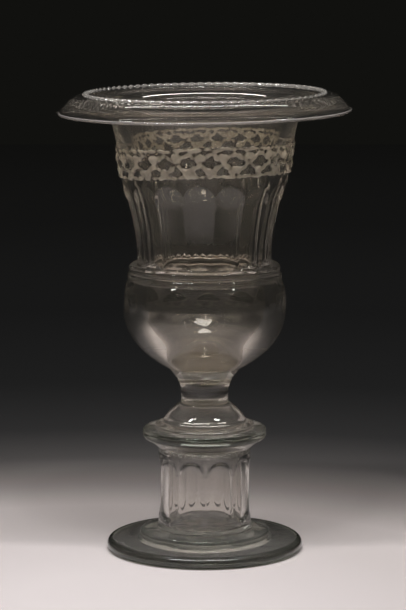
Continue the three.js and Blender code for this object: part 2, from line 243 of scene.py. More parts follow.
# Flat drops where the pincers closed. The paces differ, so that no two drops are alike.
LOWER_DROP = (9.4, 7.2)
UPPER_DROP = (9.0, 6.8)
DROP_HALF_DEPTH = 2.8
DROP_SINK = 2.3
DROP_STRAY = 0.4
DROP_STRAY_PACE = 1.7
DROP_WIDTH_PLAY = 0.12
DROP_WIDTH_PACE = 3.1
DROP_HEIGHT_PLAY = 0.1
DROP_HEIGHT_PACE = 2.1

# Lumps and dents that the pincers left.
MELT_ROUNDS = 3
LUMP_SIZE = 2.6
LUMP_HEIGHT = 0.9
CROWN_HEIGHT = 1.2

# Seams. Every piece keeps its glass in slot 0 and the unseen seam in slot 1.
SEAM_SLOT = 1
SEAM_NEARNESS = 0.02
SEAM_MARGIN = 0.01
COLLAR_SEAM_DEPTH = 0.05
BELL_SEAM_DEPTH = 0.2
RIDGE_SEAM_DEPTH = 2.0
TRELLIS_SEAM_LOW_Z = 224.0
TRELLIS_SEAM_HIGH_Z = 252.0
LEVEL_NORMAL = 0.9

# How pieces are drawn. The pull is the reach of a bend's handles, as a share of its length.
BEND_PULL = 0.4
MERGE_GAP = 0.005
SMOOTH_ANGLE = 50.0

# The camera stands where the photograph was taken from. Its place and reach are in metres.
CAMERA_PLACE = (-0.001, -1.691, 0.4106)
CAMERA_DIP = 8.81
CAMERA_LENS = 168.7
CAMERA_SENSOR = 36.0
CAMERA_REACH = 60.0

# Thick clear glass needs many bounces before light finds its way out.
GLASS_BOUNCES = 32
MIRROR_BOUNCES = 12

# Clear flint glass of the lime kind: its refraction, and the slow waves that its making left.
GLASS_IOR = 1.52
WAVE_DETAIL = 1.5
WAVE_ROUGHNESS = 0.4

# Painted shade and light on the trellis by relief: dark where threads dive into the bell, pale on
# crowns.
RELIEF_SHADE_AND_LIGHT_TONES = [(0.12, "#4E4032"), (0.74, "#FFF3DE")]

# The table in metres: a painted pool of light round the vase, shifted and turned, its tones by
# distance.
TABLE_SIZE = 5.0
LIGHT_POOL_SHIFT = (0.105, 0.085, 0.0)
LIGHT_POOL_TURN = -30.0
LIGHT_POOL_CORE = (0.0, 0.01, 0.0)
CARD_ROUGHNESS = 0.9
CARD_SHEEN = 0.2
LIGHT_POOL_TONES = [
    (0.05, "#D2C9C8"),
    (0.115, "#CAC1C0"),
    (0.175, "#C3BAB8"),
    (0.235, "#C3BAB8"),
    (0.30, "#8F8885"),
    (0.38, "#4B4847"),
    (0.485, "#2F2E2E"),
    (0.675, "#222222"),
    (1.05, "#292929"),
    (1.7, "#464645"),
    (2.6, "#71716E"),
]
ROOM_TONE = "#11110F"


def away(point, slant, distance):
    """The point that lies a distance away from another on a slant."""
    angle = math.radians(slant)
    return (point[0] + distance * math.cos(angle), point[1] + distance * math.sin(angle))


def bend(start, leaving, end, reaching, steps, whole=False):
    """Points of a smooth bend that leaves one point and reaches another on given slants."""
    pull = BEND_PULL * math.dist(start, end)
    handles = [start, away(start, leaving, pull), away(end, reaching, -pull), end]
    points = interpolate_bezier(*(Vector((r, z, 0.0)) for r, z in handles), steps + 1)
    return [(p.x, p.y) for p in points[0 if whole else 1:]]


def line(start, end, steps):
    """Points along a straight line, without its first point."""
    return [
        (start[0] + (end[0] - start[0]) * k / steps, start[1] + (end[1] - start[1]) * k / steps)
        for k in range(1, steps + 1)
    ]


def spot(r, z, angle):
    """The place in metres of a radius, a height and an angle from the front towards +X."""
    return Vector((r * math.sin(angle), -r * math.cos(angle), z)) * MM


camera_data = bpy.data.cameras.new("photo_camera")
camera_data.lens = CAMERA_LENS
camera_data.sensor_width = CAMERA_SENSOR
camera_data.clip_end = CAMERA_REACH
camera = bpy.data.objects.new("photo_camera", camera_data)
camera.location = CAMERA_PLACE
camera.rotation_euler = (math.radians(90.0 - CAMERA_DIP), 0.0, 0.0)
bpy.context.collection.objects.link(camera)
bpy.context.scene.camera = camera
bpy.context.scene.view_settings.view_transform = "Standard"

cycles = bpy.context.scene.cycles
cycles.max_bounces = GLASS_BOUNCES
cycles.transmission_bounces = GLASS_BOUNCES
cycles.glossy_bounces = MIRROR_BOUNCES
cycles.transparent_max_bounces = GLASS_BOUNCES


def turned(name, outline, sides, start=0.0):
    """A piece turned round the vase's axis: a point drawn along its outline, then screwed round."""
    bpy.ops.object.select_all(action="DESELECT")
    bpy.ops.mesh.primitive_plane_add(size=MM, enter_editmode=True, location=(0.0, 0.0, 0.0))
    piece = bpy.context.object
    piece.name = piece.data.name = name
    bpy.ops.mesh.merge(type="CENTER")
    angle = math.radians(start)
    place = spot(*outline[0], angle)
    bpy.ops.transform.translate(value=place)
    for r, z in outline[1:]:
        step = spot(r, z, angle) - place
        bpy.ops.mesh.extrude_region_move(TRANSFORM_OT_translate={"value": step})
        place += step
    bpy.ops.object.mode_set(mode="OBJECT")
    screw = piece.modifiers.new("turned", "SCREW")
    screw.steps = screw.render_steps = sides
    bpy.ops.object.modifier_apply(modifier="turned")
    bpy.ops.object.mode_set(mode="EDIT")
    bpy.ops.mesh.select_all(action="SELECT")
    bpy.ops.mesh.remove_doubles(threshold=MERGE_GAP * MM)
    bpy.ops.mesh.normals_make_consistent(inside=False)
    bpy.ops.object.mode_set(mode="OBJECT")
    return piece


def reshape(piece, move):
    """Moves each point of a piece, by its radius, height and angle from the front."""
    for vertex in piece.data.vertices:
        x, y, z = vertex.co / MM
        r = math.hypot(x, y)
        angle = math.atan2(x, -y)
        vertex.co = spot(*move(r, z, angle), angle)


def flute_offset(flutes, turn, angle):
    """The half angle of a flute, and how far an angle lies from its flute's middle."""
    half = math.pi / flutes
    return half, (angle - math.radians(turn) + half) % (2.0 * half) - half


def facet(radius, width, offset):
    """Depth of a flat facet of a half width under the round it is ground into."""
    half = math.asin(width / radius)
    if abs(offset) >= half:
        return 0.0
    return radius * (1.0 - math.cos(half) / math.cos(offset))


def arch_width(reach, past):
    """Half width of a flute's round end, at a distance past the middle of its arch."""
    return math.sqrt(max(0.0, reach ** 2 - max(0.0, past) ** 2))


def ease(distance, run):
    """0 outside a ground edge, 1 once a run inside it, and a smooth change between."""
    t = min(1.0, max(0.0, distance / run))
    return t * t * (3.0 - 2.0 * t)


# The bell's side: upright at its base, fuller at the trellis, then flared.
bell_base = (BELL_BASE_RADIUS, BELL_BASE_Z)
bell_band = (BELL_BAND_RADIUS, BELL_BAND_Z)
throat = (BELL_THROAT_RADIUS, BELL_THROAT_Z)
bell_lower = bend(bell_base, UP, bell_band, BELL_BAND_SLANT, 64, whole=True)
bell_upper = bend(bell_band, BELL_BAND_SLANT, throat, BELL_THROAT_SLANT, 34, whole=True)
bell_side = bell_lower + bell_upper[1:]


def bell_radius(z):
    """Radius of the bell's outside at a height."""
    for (r0, z0), (r1, z1) in zip(bell_side, bell_side[1:]):
        if z <= z1:
            return r0 + (r1 - r0) * max(0.0, z - z0) / (z1 - z0)
    return bell_side[-1][0]


# The bell: base, fluted side, throat, turned-over brim, ridge, mouth and cavity.
under = (RIDGE_RADIUS - RIDGE_HALF_WIDTH, RIM_Z - BRIM_PLATE)
tip = (BRIM_RADIUS - BRIM_EDGE / 2, RIM_Z - BRIM_DROP)
edge = (BRIM_RADIUS, tip[1] + BRIM_EDGE / 2)
outer = (tip[0], tip[1] + BRIM_EDGE)
brim_back = BRIM_TIP_SLANT + IN
level = RIM_Z - RIDGE_HEIGHT
ridge_out = (RIDGE_RADIUS + RIDGE_HALF_WIDTH, level)
ridge_in = (RIDGE_RADIUS - RIDGE_HALF_WIDTH, level)
mouth_out = (MOUTH_RADIUS + MOUTH_ROUND, level)
mouth = (MOUTH_RADIUS, level - MOUTH_ROUND)
inner = BELL_BASE_RADIUS - BELL_BASE_WALL
deep = (inner, BELL_BASE_Z)
bell_plain = (BELL_BASE_RADIUS, BELL_PLAIN_Z)
bell_outline = [(inner, BELL_Z), (BELL_BASE_RADIUS, BELL_Z)]
bell_outline += line(bell_outline[-1], bell_plain, 4) + line(bell_plain, bell_base, 5)
bell_outline += bell_lower[1:] + bell_upper[1:]
bell_outline += bend(throat, BELL_THROAT_SLANT, under, OUT, 16)
bell_outline += bend(under, OUT, tip, BRIM_TIP_SLANT, 14)
bell_outline += bend(tip, BRIM_TIP_SLANT, edge, UP, 4) + bend(edge, UP, outer, brim_back, 4)
bell_outline += bend(outer, brim_back, ridge_out, IN, 16) + line(ridge_out, ridge_in, 2)
bell_outline += line(ridge_in, mouth_out, 7) + bend(mouth_out, IN, mouth, DOWN, 5)
bell_outline += bend(mouth, BELL_CAVITY_SLANT, deep, DOWN, 40)
bell_outline += line(deep, (inner, BELL_Z), 3)


def brim_lean(r, angle):
    """How far the hand-turned brim leans up at a radius and an angle."""
    return BRIM_LEAN * max(0.0, (r - MOUTH_RADIUS) / (BRIM_RADIUS - MOUTH_RADIUS)) * math.sin(angle)


def bell_cut(r, z, angle):
    """Grinds the bell's flutes and leans its brim."""
    if z > BELL_THROAT_Z:
        return r, z + brim_lean(r, angle)
    if z < BELL_PLAIN_Z or r < bell_radius(z) - BELL_SKIN:
        return r, z
    half, offset = flute_offset(BOWL_FLUTES, BELL_FLUTE_TURN, angle)
    aside = abs(r * math.sin(offset))
    reach = r * math.sin(half)
    centre = BELL_FLUTE_TOP_Z - reach
    width = arch_width(reach, z - centre)
    if z > centre:
        inside = reach - math.hypot(aside, z - centre)
    else:
        inside = reach - aside + centre - z
    hollow = 1.0 - (aside / width) ** 2 if aside < width else 0.0
    scoop = FLUTE_DEPTH * ease(inside, BELL_FLUTE_SIDE_RUN) + FLUTE_HOLLOW * hollow
    depth = scoop * ease(BELL_FLUTE_TOP_Z - z, BELL_FLUTE_TOP_RUN) + facet(r, width, offset)
    foot_z = BELL_FLUTE_FOOT_Z - BELL_FLUTE_FOOT_DIP * (aside / reach) ** 2
    return r - depth * ease(z - foot_z, BELL_FLUTE_FOOT_RUN), z


bell = turned(
    "bell_bowl",
    bell_outline,
    BOWL_FLUTES * BELL_FLUTE_SIDES,
    BELL_FLUTE_TURN - 180 / BOWL_FLUTES,
)
reshape(bell, bell_cut)

# The ridge on the brim, nipped by hand into a rope of short beads.
ridge_outline = [ridge_in, ridge_out] + [
    (RIDGE_RADIUS + RIDGE_HALF_WIDTH * math.cos(turn), level + RIDGE_HEIGHT * math.sin(turn))
    for turn in (k * math.pi / RIDGE_ARCH_STEPS for k in range(1, RIDGE_ARCH_STEPS))
]


def ridge_cut(r, z, angle):
    """Nips the ridge into beads that lean and crowd a little, and leans it with the brim."""
    share = (z - level) / RIDGE_HEIGHT
    phase = BEADS * (angle + BEAD_CROWDING * math.cos(angle)) + BEAD_LEAN * (r - RIDGE_RADIUS)
    nipped = (0.5 - 0.5 * math.cos(phase)) ** NIP_WIDTH
    narrowed = NIP_PINCH * nipped * min(1.0, share / NIP_PINCH_FROM)
    pinched = RIDGE_RADIUS + (r - RIDGE_RADIUS) * (1 - narrowed)
    return pinched, z - NIP_DEPTH * RIDGE_HEIGHT * nipped * share + brim_lean(r, angle)


ridge = turned("rim_rope", ridge_outline + [ridge_in], BEADS * BEAD_SIDES)
reshape(ridge, ridge_cut)

# The bulb: fluted outside from its widest part to the shoulder, then the cavity.
base = (BULB_BASE_RADIUS, BULB_Z)
widest = (BULB_RADIUS, BULB_WIDEST_Z)
shoulder = (BULB_SHOULDER_RADIUS, BELL_Z)
cavity = (BULB_RADIUS - BULB_WALL, BULB_WIDEST_Z)
floor_edge = (BULB_FLOOR_RADIUS, BULB_FLOOR_Z)
well = (BULB_FLOOR_RADIUS + BULB_FLOOR_ROUND, BULB_FLOOR_Z + BULB_FLOOR_ROUND / 2)
bulb_outline = [(0.0, BULB_Z), (NECK_TOP_RADIUS, BULB_Z), base]
bulb_outline += bend(base, BULB_BASE_SLANT, widest, UP, 56)
bulb_outline += bend(widest, UP, shoulder, BULB_SHOULDER_SLANT, 28)
bulb_outline += [(BELL_BASE_RADIUS, BELL_Z), (inner, BELL_Z)]
bulb_outline += bend((inner, BELL_Z), BULB_INLET_SLANT, cavity, DOWN, 14)
bulb_outline += bend(cavity, DOWN, well, BULB_WELL_SLANT, 26)
bulb_outline += bend(well, BULB_WELL_SLANT, floor_edge, IN, 5)
bulb_outline += line(floor_edge, (0.0, BULB_FLOOR_Z), 5)


def bulb_cut(r, z, angle):
    """Grinds the bulb's flutes, round above and pointed below."""
    if r < BULB_RADIUS - BULB_WALL / 2 or not BULB_FLUTE_TIP_Z < z < BELL_Z - SEAM_MARGIN:
        return r, z
    half, offset = flute_offset(BOWL_FLUTES, BULB_FLUTE_TURN, angle)
    reach = r * math.sin(half)
    width = arch_width(reach, z - BULB_FLUTE_TOP_Z + reach)
    point = reach * (z - BULB_FLUTE_TIP_Z) / (BULB_FLUTE_SIDE_Z - BULB_FLUTE_TIP_Z)
    return r - facet(r, max(0.0, min(width, point)), offset), z


bulb = turned(
    "bulb_bowl",
    bulb_outline,
    BOWL_FLUTES * BULB_FLUTE_SIDES,
    BULB_FLUTE_TURN - 180 / BOWL_FLUTES,
)
reshape(bulb, bulb_cut)

# The two collar trails, fused to the foot of the bell and to each other.
lower_top = BELL_Z + COLLAR_LOWER_HEIGHT
upper_top = lower_top + COLLAR_UPPER_HEIGHT
lower_belly = (COLLAR_LOWER_RADIUS, BELL_Z + COLLAR_LOWER_HEIGHT / 2)
upper_belly = (COLLAR_UPPER_RADIUS, lower_top + COLLAR_UPPER_HEIGHT / 2)
groove = (COLLAR_UPPER_RADIUS - COLLAR_GROOVE, lower_top)
lower_collar = turned(
    "lower_collar",
    [(BELL_BASE_RADIUS, BELL_Z), shoulder]
    + bend(shoulder, COLLAR_LOWER_SLANT, lower_belly, UP, 7)
    + bend(lower_belly, UP, groove, IN, 8)
    + [(BELL_BASE_RADIUS, lower_top), (BELL_BASE_RADIUS, BELL_Z)],
    COLLAR_SIDES,
)
upper_collar = turned(
    "upper_collar",
    [(BELL_BASE_RADIUS, lower_top), groove]
    + bend(groove, OUT, upper_belly, UP, 8)
    + bend(upper_belly, UP, (BELL_BASE_RADIUS, upper_top), COLLAR_UPPER_SLANT, 10)
    + [(BELL_BASE_RADIUS, lower_top)],
    COLLAR_SIDES,
)

# The neck, cone and merese, solid.
waist = (NECK_RADIUS, NECK_Z + NECK_WAIST_HEIGHT)
neck = turned(
    "stem_spool",
    [(0.0, NECK_Z), (NECK_FOOT_RADIUS, NECK_Z)]
    + bend((NECK_FOOT_RADIUS, NECK_Z), NECK_FOOT_SLANT, waist, UP, 10)
    + bend(waist, UP, (NECK_TOP_RADIUS, BULB_Z), NECK_TOP_SLANT, 26)
    + [(0.0, BULB_Z)],
    STEM_SIDES,
)
cone_inner = (CONE_RADIUS - CONE_EDGE_ROUND, CONE_Z)
cone_outer = (CONE_RADIUS, CONE_Z + CONE_EDGE / 2)
cone_shoulder = (CONE_RADIUS - CONE_EDGE_ROUND / 2, CONE_Z + CONE_EDGE)
cone_top = (NECK_FOOT_RADIUS + SEAM_LEDGE, NECK_Z)
cone = turned(
    "stem_foot",
    [(0.0, CONE_Z), cone_inner]
    + bend(cone_inner, OUT, cone_outer, UP, 5)
    + bend(cone_outer, UP, cone_shoulder, CONE_EDGE_SLANT, 3)
    + bend(cone_shoulder, CONE_SIDE_SLANT, cone_top, CONE_TOP_SLANT, 18)
    + [(NECK_FOOT_RADIUS, NECK_Z), (0.0, NECK_Z)],
    STEM_SIDES,
)
merese_inner = MERESE_RADIUS - MERESE_EDGE_ROUND
merese_middle = (MERESE_RADIUS, (MERESE_Z + CONE_Z) / 2)
merese = turned(
    "stem_button",
    [(0.0, MERESE_Z), (merese_inner, MERESE_Z)]
    + bend((merese_inner, MERESE_Z), OUT, merese_middle, UP, 5)
    + bend(merese_middle, UP, (merese_inner, CONE_Z), IN, 5)
    + [cone_inner, (0.0, CONE_Z)],
    STEM_SIDES,
)

# The drip flange, whose underside slopes in to the column.
flange_inner = FLANGE_RADIUS - FLANGE_EDGE_ROUND
flange_low = (flange_inner, MERESE_Z - FLANGE_EDGE)
flange_middle = (FLANGE_RADIUS, MERESE_Z - FLANGE_EDGE / 2)
lip = COLUMN_RADIUS - COLUMN_WALL - COLUMN_BORE_FILLET
flange = turned(
    "drip_disc",
    [(0.0, FLANGE_Z), (lip, FLANGE_Z), (COLUMN_RADIUS, FLANGE_Z)]
    + bend((COLUMN_RADIUS, FLANGE_Z), FLANGE_ROOT_SLANT, flange_low, FLANGE_UNDER_SLANT, 10)
    + bend(flange_low, FLANGE_LIP_SLANT, flange_middle, UP, 7)
    + bend(flange_middle, UP, (flange_inner, MERESE_Z), IN, 7)
    + [(merese_inner, MERESE_Z), (0.0, MERESE_Z)],
    FLANGE_SIDES,
)

# The column: a thick tube with ten flutes. Its outline has more points near their arches.
bore = COLUMN_RADIUS - COLUMN_WALL
column_base = (COLUMN_RADIUS + COLUMN_BASE_FLARE, COLUMN_Z)
flute_low = COLUMN_Z + COLUMN_PLAIN_BASE
flute_high = FLANGE_Z - COLUMN_PLAIN_TOP
arch_foot = (COLUMN_RADIUS, flute_low - COLUMN_ARCH_MARGIN)
arch_low = (COLUMN_RADIUS, flute_low + COLUMN_ARCH)
arch_high = (COLUMN_RADIUS, flute_high - COLUMN_ARCH)
bore_low = (bore, COLUMN_Z + COLUMN_BORE_FILLET)
bore_high = (bore, FLANGE_Z - COLUMN_BORE_FILLET)
column_outline = [(lip, COLUMN_Z), column_base] + bend(column_base, UP, arch_foot, UP, 5)
column_outline += line(arch_foot, arch_low, 18) + line(arch_low, arch_high, 8)
column_outline += line(arch_high, (COLUMN_RADIUS, FLANGE_Z), 24)
column_outline += [(lip, FLANGE_Z)] + bend((lip, FLANGE_Z), OUT, bore_high, DOWN, 8)
column_outline += line(bore_high, bore_low, 6) + bend(bore_low, DOWN, (lip, COLUMN_Z), IN, 8)


def column_cut(r, z, angle):
    """Grinds the column's flutes, with round ends."""
    at_seam = z > FLANGE_Z - SEAM_MARGIN or z < COLUMN_Z + SEAM_MARGIN
    if r < COLUMN_RADIUS - COLUMN_SKIN or at_seam:
        return r, z
    half, offset = flute_offset(COLUMN_FLUTES, COLUMN_FLUTE_TURN, angle)
    reach = r * math.sin(half)
    past = max(z - (flute_high - reach), flute_low + reach - z, 0.0)
    inside = reach - math.hypot(r * math.sin(offset), past) if past > 0.0 else reach
    return r - facet(r, reach, offset) * ease(inside + COLUMN_GRIND_LAP, COLUMN_GRIND_RUN), z


column = turned(
    "column_tube",
    column_outline,
    COLUMN_FLUTES * COLUMN_FLUTE_SIDES,
    COLUMN_FLUTE_TURN - 180 / COLUMN_FLUTES,
)
reshape(column, column_cut)

# The step, rounded at its edge, on which the column stands.
step_edge = (STEP_RADIUS - STEP_EDGE_ROUND, COLUMN_Z - STEP_SLOPE)
step_side = (STEP_RADIUS, step_edge[1] - STEP_EDGE_ROUND)
step = turned(
    "foot_tier",
    [(0.0, STEP_Z), (STEP_RADIUS, STEP_Z), step_side]
    + bend(step_side, UP, step_edge, IN, 8)
    + line(step_edge, column_base, 3)
    + [(lip, COLUMN_Z), (0.0, COLUMN_Z)],
    STEP_SIDES,
)

# The foot, hollowed underneath, with the flat ring that it stands on.
rest = FOOT_RADIUS - FOOT_EDGE_ROUND
kick = rest - FOOT_REST_WIDTH
kick_top = (kick - FOOT_KICK_SLOPE, FOOT_KICK)
foot_top = (rest, STEP_Z - FOOT_SLOPE)
foot_middle = (FOOT_RADIUS, foot_top[1] / 2)
foot = turned(
    "foot_plate",
    [(0.0, FOOT_KICK)]
    + line((0.0, FOOT_KICK), kick_top, 12)
    + bend(kick_top, OUT, (kick, 0.0), FOOT_KICK_SLANT, 4)
    + [(rest, 0.0)]
    + bend((rest, 0.0), OUT, foot_middle, UP, 8)
    + bend(foot_middle, UP, foot_top, IN, 8)
    + bend(foot_top, FOOT_TOP_SLANT, (STEP_RADIUS, STEP_Z), FOOT_TOP_SLANT, 6)
    + [(0.0, STEP_Z)],
    FOOT_SIDES,
)


# The trellis: two ring threads and two zigzag threads, nipped together.
def trellis_level(angle):
    """How far the hand-laid trellis leans and sways up at an angle."""
    return TRELLIS_LEAN * math.sin(angle) + TRELLIS_SWAY * math.cos(TRELLIS_SWAY_WAVES * angle)


def thread(name, thickness, path, swell):
    """A closed glass thread whose path gives height, and whose swell gives its thickness."""
    data = bpy.data.curves.new(name, "CURVE")
    data.dimensions = "3D"
    data.bevel_depth = thickness / 2 * MM
    data.bevel_resolution = THREAD_ROUND_STEPS
    spline = data.splines.new("POLY")
    spline.points.add(THREAD_STEPS - 1)
    spline.use_cyclic_u = True
    for k, point in enumerate(spline.points):
        angle = math.tau * k / THREAD_STEPS
        z = path(angle) + trellis_level(angle)
        fat = swell(angle)
        r = bell_radius(z) + TRELLIS_RELIEF - thickness * fat / 2
        point.co = (*spot(r, z, angle), 1.0)
        point.radius = fat
    piece = bpy.data.objects.new(name, data)
    bpy.context.collection.objects.link(piece)
    return piece


def by_hand(angle):
    """An angle, off by what the glassmaker's hand put each nip out."""
    slow = SLOW_SLIP * math.sin(SLOW_SLIP_WAVES * angle + SLOW_SLIP_PHASE)
    quick = QUICK_SLIP * math.sin(QUICK_SLIP_WAVES * angle)
    return angle + slow + quick


def nip(angle, turn):
    """1 at each nip of a zigzag, -1 midway between two."""
    return math.cos(TRELLIS_NIPS * (by_hand(angle) - math.radians(turn)))


def wave(heights, angle, turn):
    """The height of a zigzag between two heights over the trellis's base, highest at its nips."""
    low = TRELLIS_BASE_Z + heights[0]
    high = TRELLIS_BASE_Z + heights[1]
    return (low + high) / 2 + (high - low) / 2 * nip(angle, turn)


def drops(z, turn, width, height):
    """A ring of flat drops of glass, one at each nip, where the pincers pressed the threads."""
    ring = []
    for k in range(TRELLIS_NIPS):
        straight = math.radians(turn + 360 / TRELLIS_NIPS * k)
        angle = 2 * straight - by_hand(straight)
        height_here = z + trellis_level(angle) + DROP_STRAY * math.sin(DROP_STRAY_PACE * k + turn)
        r = bell_radius(height_here) + TRELLIS_RELIEF - DROP_SINK
        bpy.ops.mesh.primitive_uv_sphere_add(
            segments=16,
            ring_count=10,
            radius=MM,
            location=spot(r, height_here, angle),
            rotation=(0.0, 0.0, angle),
        )
        drop = bpy.context.object
        wider = 1 + DROP_WIDTH_PLAY * math.sin(DROP_WIDTH_PACE * k + turn)
        taller = 1 + DROP_HEIGHT_PLAY * math.cos(DROP_HEIGHT_PACE * k)
        drop.scale = (width / 2 * wider, DROP_HALF_DEPTH, height / 2 * taller)
        ring.append(drop)
    return ring


lower_turn = TRELLIS_TURN
upper_turn = TRELLIS_TURN + 180 / TRELLIS_NIPS
threads = [
    thread(
        "bottom_thread",
        BOTTOM_THREAD,
        lambda a: TRELLIS_BASE_Z,
        lambda a: 1 + BOTTOM_SWELL * nip(a, upper_turn),
    ),
    thread(
        "top_thread",
        TOP_THREAD,
        lambda a: TRELLIS_BASE_Z + TRELLIS_HEIGHT + TOP_WOBBLE * nip(a, TOP_WOBBLE_TURN),
        lambda a: 1 + TOP_SWELL * nip(a, lower_turn),
    ),
    thread(
        "lower_zigzag",
        ZIGZAG_THREAD,
        lambda a: wave(LOWER_ZIGZAG, a, lower_turn),
        lambda a: 1
        - ZIGZAG_THINNING * nip(a, lower_turn)
        + ZIGZAG_SWELL * math.sin(LOWER_SWELL_WAVES * a),
    ),
    thread(
        "upper_zigzag",
        ZIGZAG_THREAD,
        lambda a: wave(UPPER_ZIGZAG, a, upper_turn),
        lambda a: 1 + ZIGZAG_SWELL * math.sin(UPPER_SWELL_WAVES * a + UPPER_SWELL_PHASE),
    ),
]
threads += drops(TRELLIS_BASE_Z + LOWER_NIPS_HEIGHT, upper_turn, *LOWER_DROP)
threads += drops(TRELLIS_BASE_Z + UPPER_NIPS_HEIGHT, lower_turn, *UPPER_DROP)
bpy.ops.object.select_all(action="DESELECT")
for piece in threads:
    piece.select_set(True)
bpy.context.view_layer.objects.active = threads[0]
bpy.ops.object.convert(target="MESH")
bpy.ops.object.join()
trellis = bpy.context.object
trellis.name = trellis.data.name = "trellis_work"
remesh = trellis.modifiers.new("fused", "REMESH")
remesh.mode = "VOXEL"
remesh.voxel_size = TRELLIS_GRAIN * MM
bpy.ops.object.modifier_apply(modifier="fused")
smooth = trellis.modifiers.new("melted", "SMOOTH")
smooth.iterations = MELT_ROUNDS
bpy.ops.object.modifier_apply(modifier="melted")

# The pincers left lumps and dents all over the threads.
lumps = [
    vertex.normal * noise.noise(vertex.co / (LUMP_SIZE * MM)) * LUMP_HEIGHT * MM
    for vertex in trellis.data.vertices
]
for vertex, lump in zip(trellis.data.vertices, lumps):
    vertex.co += lump

# How far each point stands out from the bell: 0 in its surface, 1 at the crown's height.
# This height sets the painted shade and light of the threads.
crown = trellis.data.attributes.new("crown", "FLOAT", "POINT")
for vertex, height in zip(trellis.data.vertices, crown.data):
    x, y, z = vertex.co / MM
    height.value = min(1.0, max(0.0, (math.hypot(x, y) - bell_radius(z)) / CROWN_HEIGHT))


# Materials.
def srgb(code):
    """A colour written as an sRGB hex value, turned to linear."""
    parts = [int(code[k:k + 2], 16) / 255 for k in (1, 3, 5)]
    return [p / 12.92 if p <= 0.04045 else ((p + 0.055) / 1.055) ** 2.4 for p in parts] + [1.0]


def node(tree, kind, settings=None, links=None):
    """Adds a node, sets its values and inputs, and links its inputs to other nodes' outputs."""
    new = tree.nodes.new(kind)
    for name, value in (settings or {}).items():
        if name in new.inputs:
            new.inputs[name].default_value = value
        else:
            setattr(new, name, value)
    for name, output in (links or {}).items():
        tree.links.new(output, new.inputs[name])
    return new


def material(name):
    """An empty node material."""
    new = bpy.data.materials.new(name)
    new.use_nodes = True
    new.node_tree.nodes.clear()
    return new


def glass(name, colour, clear, wave_mm, wave_depth_mm):
    """Smooth glass with the slow waves that its making left. Less clear glass is more milky."""
    new = material(name)
    tree = new.node_tree
    place = node(tree, "ShaderNodeTexCoord")
    waves = node(
        tree,
        "ShaderNodeTexNoise",
        {"Scale": 1.0 / (wave_mm * MM), "Detail": WAVE_DETAIL, "Roughness": WAVE_ROUGHNESS},
        {"Vector": place.outputs["Object"]},
    )
    bump = node(
        tree,
        "ShaderNodeBump",
        {"Strength": 1.0, "Distance": wave_depth_mm * MM},
        {"Height": waves.outputs["Fac"]},
    )
    surface = node(
        tree,
        "ShaderNodeBsdfPrincipled",
        {
            "Base Color": srgb(colour),
            "Roughness": 0.0,
            "IOR": GLASS_IOR,
            "Transmission Weight": clear,
        },
        {"Normal": bump.outputs["Normal"]},
    )
    node(tree, "ShaderNodeOutputMaterial", {}, {"Surface": surface.outputs["BSDF"]})
    return new


# Cut and polished: dark, warm and deep, with thin bright lines along the arrises.
clear_glass = glass("flint_glass_polished_cut", "#F4EEE4", 0.982, 14.0, 0.06)

# Fire-polished and thin: the brim lets the trellis behind it through, and blurs its lines a little.
brim_glass = glass("flint_glass_fire_polished_brim", "#F4EEE6", 0.992, 14.0, 0.06)

# The lip gathers light in its rounded edge, and so draws a pale line round the brim.
# That pale line is a painted highlight: milkier glass on the lip, lit by the lamps.
lip_highlight_glass = glass("flint_glass_brim_lip_highlight", "#F2EAE4", 0.74, 14.0, 0.06)

# Nipped while soft: small milky beads, each with a light side and a dark one.
rope_glass = glass("flint_glass_nipped_rope", "#F4F0E8", 0.86, 3.0, 0.1)

# The least tinted: the table's light comes up through the column in bright bars.
column_glass = glass("flint_glass_cut_column", "#FBF8F4", 0.985, 11.0, 0.06)

# Thick, with deeper waves: a cooler grey in which the table's edge swims.
foot_glass = glass("flint_glass_thick_fire_polished", "#F2F2EA", 0.962, 12.0, 0.2)

# Solid: warm and a little milky, with broad soft lights.
stem_glass = glass("flint_glass_solid_stem", "#EDE4D6", 0.9, 9.0, 0.05)

# The stem's foot is milkier still, so that it stands out pale between neck and merese.
cone_glass = glass("flint_glass_stem_foot", "#EDE4DA", 0.8, 9.0, 0.05)

# Pinched while soft: milky threads with a crumpled skin, with painted shade and light by relief
# below.
trail_glass = glass("flint_glass_pinched_trail", "#F2E6D4", 0.63, 2.2, 0.4)

# Glass seen through its greatest thickness: the rims of flange and foot go grey-green.
edge_glass = glass("flint_glass_thick_edge", "#868C80", 0.99, 12.0, 0.2)

# Small bubbles at the ends of the bore: a crumpled ring that breaks up the light at the foot.
bore_end_glass = glass("flint_glass_bubbled_bore_end", "#F8F5F0", 0.86, 3.2, 1.6)

# Lime that dried on the bulb's inside: a pale haze that thickens towards its floor.
film_thin = glass("flint_glass_thin_lime_film", "#F0E6D6", 0.935, 14.0, 0.06)
film_mid = glass("flint_glass_lime_film", "#EEE2CF", 0.87, 14.0, 0.06)
film_thick = glass("flint_glass_thick_lime_film", "#ECDEC8", 0.8, 14.0, 0.06)

# Painted shade and light: a thread is brown where it dives into the bell and cream on its crown.
trail_tree = trail_glass.node_tree
relief = node(trail_tree, "ShaderNodeAttribute", {"attribute_name": "crown"})
painted_relief_shade = node(trail_tree, "ShaderNodeValToRGB", {}, {"Fac": relief.outputs["Fac"]})
for stop, (position, code) in zip(painted_relief_shade.color_ramp.elements, RELIEF_SHADE_AND_LIGHT_TONES):
    stop.position = position
    stop.color = srgb(code)
trail_surface = trail_tree.nodes["Principled BSDF"]
trail_tree.links.new(painted_relief_shade.outputs["Color"], trail_surface.inputs["Base Color"])

# Where two gathers are fused there is no surface, so this one isn't seen.
seam = material("fused_glass_joint")
seam_clear = node(seam.node_tree, "ShaderNodeBsdfTransparent", {"Color": (1.0, 1.0, 1.0, 1.0)})
node(seam.node_tree, "ShaderNodeOutputMaterial", {}, {"Surface": seam_clear.outputs["BSDF"]})


